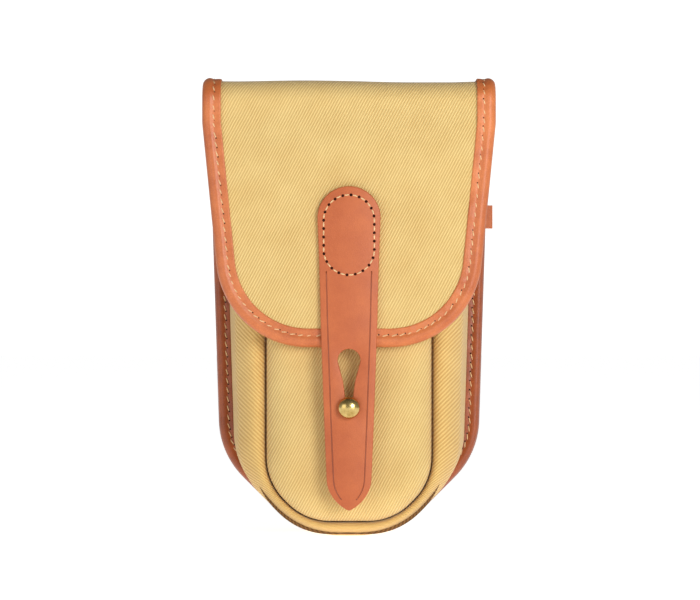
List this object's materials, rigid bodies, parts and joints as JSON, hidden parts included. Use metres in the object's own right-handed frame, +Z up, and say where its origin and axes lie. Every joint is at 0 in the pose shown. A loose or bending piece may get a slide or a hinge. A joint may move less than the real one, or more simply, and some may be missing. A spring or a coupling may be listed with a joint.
{
  "type": "padded camera pouch",
  "caption": "Padded khaki canvas camera or lens pouch with tan leather edges, a deep front flap and a leather tab strap that buttons over a brass ball stud.",
  "frame": {"origin": "middle of the small flat under the pouch that it stands on", "axes": "+Z up, -Y the front with the strap, +X to the right seen from the front"},
  "size_m": [0.1286, 0.0768, 0.1995],
  "materials": {
    "canvas": "khaki cotton twill",
    "leather": "tan vegetable-tanned leather, satin",
    "padding": "soft foam wadding",
    "lining": "brushed cotton",
    "brass": "polished"
  },
  "bodies": {
    "pouch": {"back_binding": "leather", "mouth_binding": "leather", "stud_patch": "leather", "carry_band": "leather", "back_panel": "canvas", "gusset": "canvas", "front_panel": "canvas", "back_padding": "padding", "gusset_padding": "padding", "front_padding": "padding", "back_lining": "lining", "gusset_lining": "lining", "front_lining": "lining", "stud_post": "brass", "stud_screw": "brass", "stud_washer": "brass"},
    "flap": {"flap_canvas": "canvas", "flap_padding": "padding", "flap_lining": "lining", "flap_binding": "leather", "strap_head": "leather"},
    "strap": {"strap_tail": "leather"}
  },
  "joints": [
    {"name": "flap_hinge", "type": "hinge", "parent": "pouch", "child": "flap", "pos_m": [0, 0.0254, 0.1906], "axis": [-1, 0, 0], "range_deg": [0, 180]},
    {"name": "strap_hinge", "type": "hinge", "parent": "flap", "child": "strap", "pos_m": [0, -0.0382, 0.108], "axis": [-1, 0, 0], "range_deg": [0, 90], "deforming": ["strap_tail"]}
  ]
}
